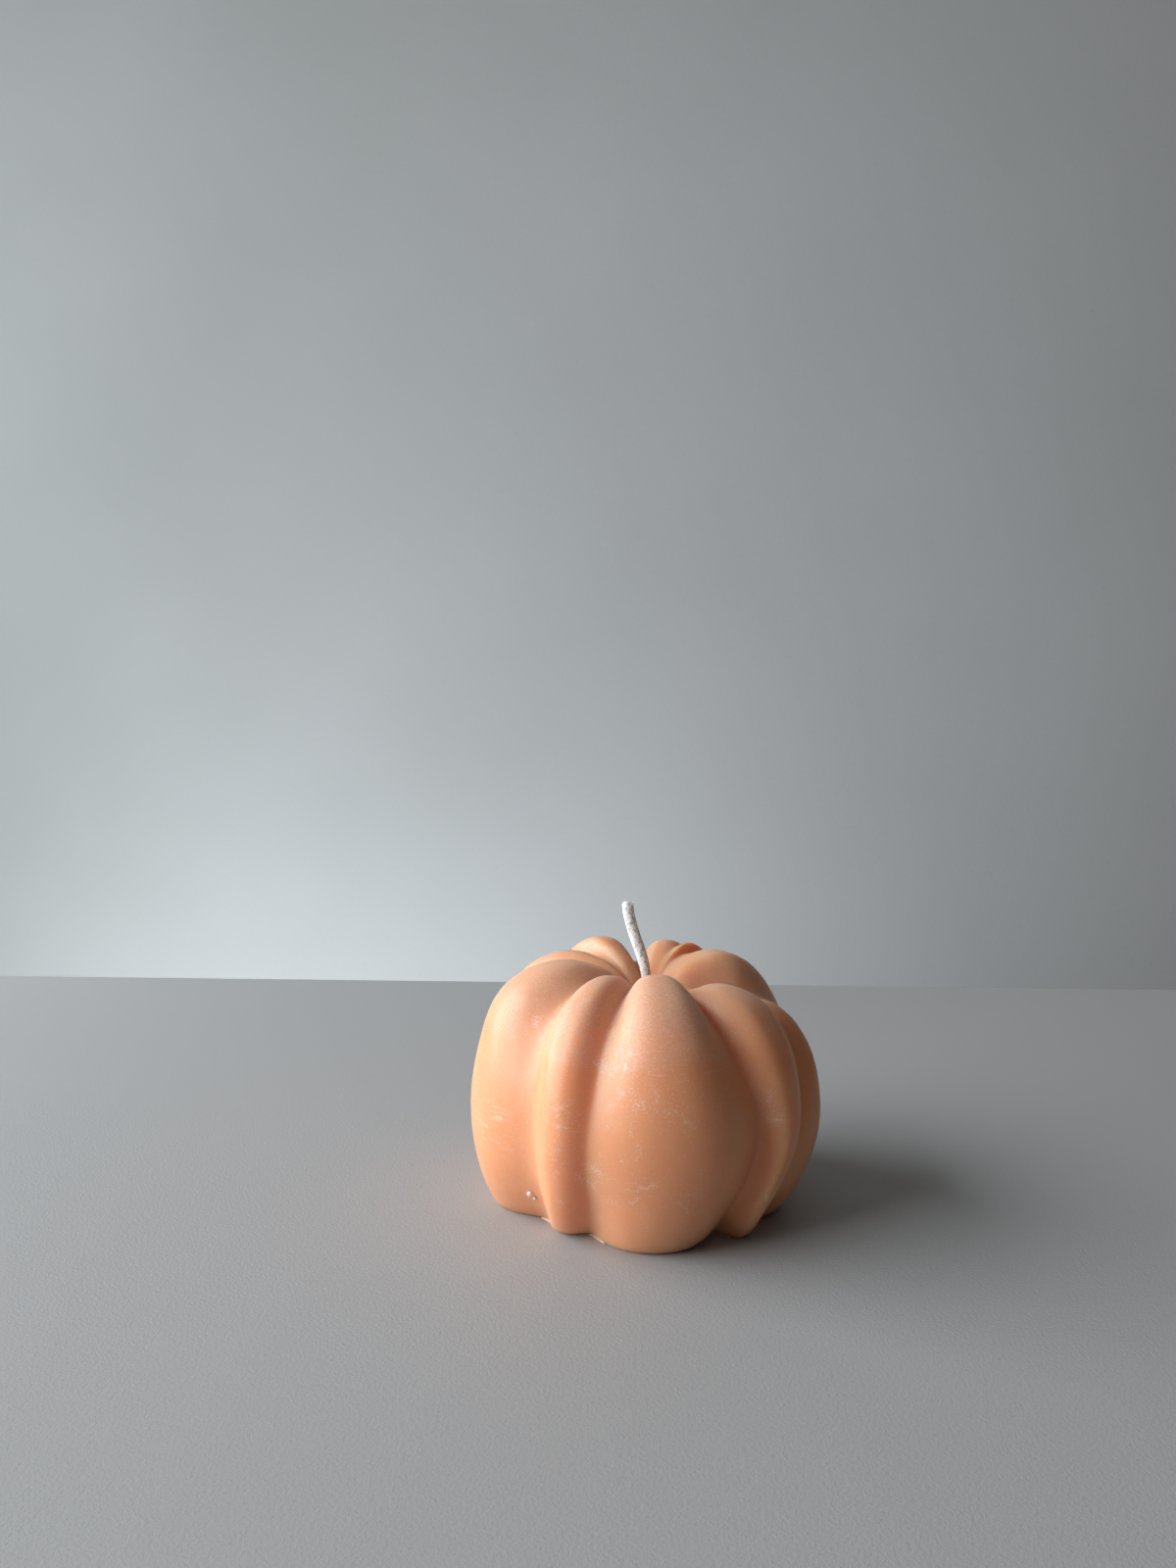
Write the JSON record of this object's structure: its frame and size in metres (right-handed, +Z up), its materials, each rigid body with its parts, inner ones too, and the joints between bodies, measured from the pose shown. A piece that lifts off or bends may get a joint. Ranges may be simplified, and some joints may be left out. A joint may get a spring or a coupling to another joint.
{
  "type": "pumpkin-shaped candle",
  "caption": "Pumpkin-shaped cast wax candle with unequal rounded lobes, a flat base and a leaning braided cotton wick; stands free as a table decoration or light.",
  "frame": {"origin": "centre of the whole object's bounding box in plan, on the flat base's plane", "axes": "+Z up along the wick's channel, -Y towards the widest lobe at the front, +X to the right as seen from the front"},
  "size_m": [0.0772, 0.0754, 0.0671],
  "materials": {
    "wax": "satin translucent peach wax with a faint pale bloom",
    "wick_cotton": "matt braided white cotton"
  },
  "bodies": {
    "root": {"wax_body": "wax", "wick": "wick_cotton"}
  },
  "joints": []
}
